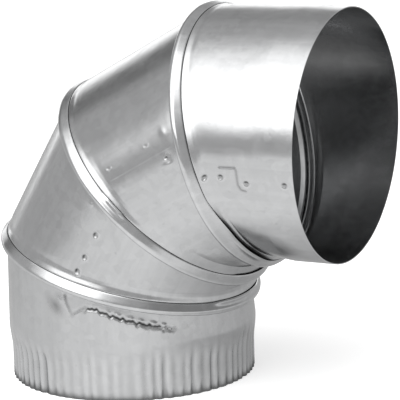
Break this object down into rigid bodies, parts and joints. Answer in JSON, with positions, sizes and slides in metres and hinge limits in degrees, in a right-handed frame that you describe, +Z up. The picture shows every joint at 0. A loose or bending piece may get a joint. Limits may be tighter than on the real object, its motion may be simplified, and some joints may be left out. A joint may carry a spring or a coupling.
{
  "type": "adjustable flue elbow",
  "caption": "Adjustable right-angle elbow for round flue pipe: sheet metal gores joined by beaded swivel seams, with one crimped end and one plain end.",
  "frame": {"origin": "centre of the crimped end's rim", "axes": "+Z up the crimped end's axis into the elbow, +X out of the plain end, XZ the plane of symmetry"},
  "size_m": [0.2283, 0.164, 0.2343],
  "materials": {
    "galvanised_sheet": "galvanised, satin with faint spangle"
  },
  "bodies": {
    "crimped_end": {"crimped_end_gore": "galvanised_sheet"},
    "lower_middle": {"lower_middle_gore": "galvanised_sheet"},
    "upper_middle": {"upper_middle_gore": "galvanised_sheet"},
    "plain_end": {"plain_end_gore": "galvanised_sheet"}
  },
  "joints": [
    {"name": "low_seam_swivel", "type": "hinge", "parent": "crimped_end", "child": "lower_middle", "pos_m": [0, 0, 0.067], "axis": [0.2588, 0, 0.9659], "continuous": true},
    {"name": "middle_seam_swivel", "type": "hinge", "parent": "lower_middle", "child": "upper_middle", "pos_m": [0.0262, 0, 0.11978], "axis": [0.7071, 0, 0.7071], "continuous": true},
    {"name": "top_seam_swivel", "type": "hinge", "parent": "upper_middle", "child": "plain_end", "pos_m": [0.07788, 0, 0.1539], "axis": [0.9659, 0, 0.2588], "continuous": true}
  ]
}
